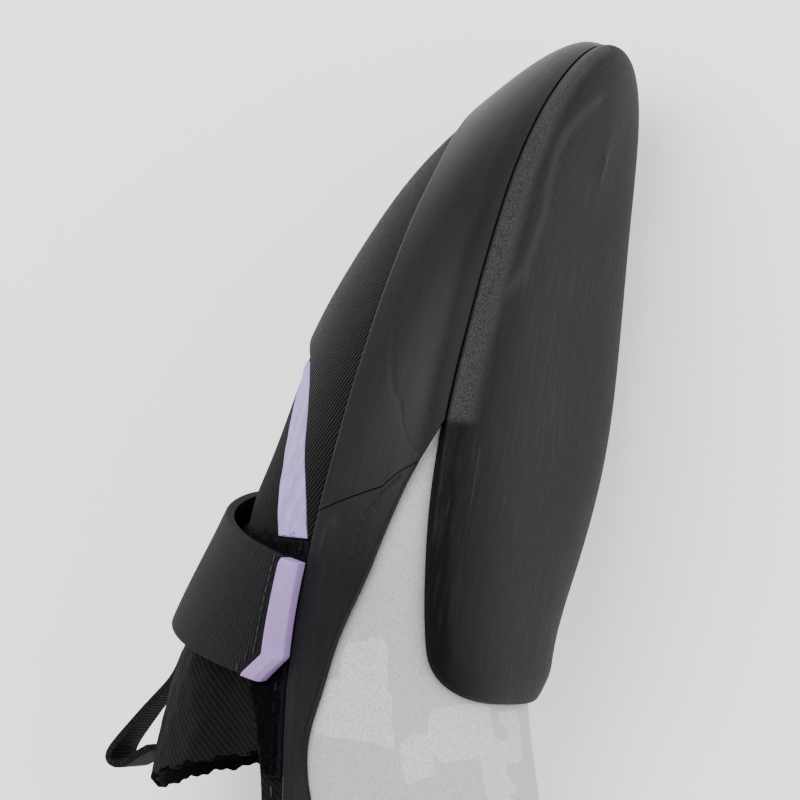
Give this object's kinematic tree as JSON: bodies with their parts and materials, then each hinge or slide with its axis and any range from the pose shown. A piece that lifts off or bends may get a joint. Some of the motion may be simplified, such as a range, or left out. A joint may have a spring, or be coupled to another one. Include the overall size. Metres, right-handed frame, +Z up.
{
  "type": "climbing shoe",
  "caption": "Slip-lasted climbing shoe with half sole, rubber rand, ribbed toe patch, one hook-and-loop strap, knit tongue and pull loop.",
  "frame": {"origin": "middle of the bounding box, on the floor that the shoe lies on", "axes": "+X from the heel to the toe, +Y from the sole to the collar, +Z up, which is the shoe's lateral side"},
  "size_m": [0.2374, 0.1018, 0.0854],
  "materials": {
    "upper": "grey microsuede, matte",
    "insole": "lining cloth, matte",
    "outsole": "near-black rubber, matte, buffed at the edge",
    "toe_rand": "charcoal rubber, sanded",
    "heel_rand": "charcoal rubber, sanded",
    "toe_patch": "ribbed black rubber, slight gloss",
    "stripe_lateral": "lavender synthetic leather, satin",
    "stripe_medial": "lavender synthetic leather, satin",
    "pile_patch": "black loop pile",
    "strap": "black ribbed webbing",
    "pull_tab": "moulded lavender plastic, satin",
    "tongue": "black stretch rib knit",
    "pull_loop": "black webbing"
  },
  "bodies": {
    "root": {"upper": "upper", "insole": "insole", "outsole": "outsole", "toe_rand": "toe_rand", "heel_rand": "heel_rand", "toe_patch": "toe_patch", "stripe_lateral": "stripe_lateral", "stripe_medial": "stripe_medial", "pile_patch": "pile_patch", "strap": "strap", "pull_tab": "pull_tab", "tongue": "tongue", "pull_loop": "pull_loop"}
  },
  "joints": []
}
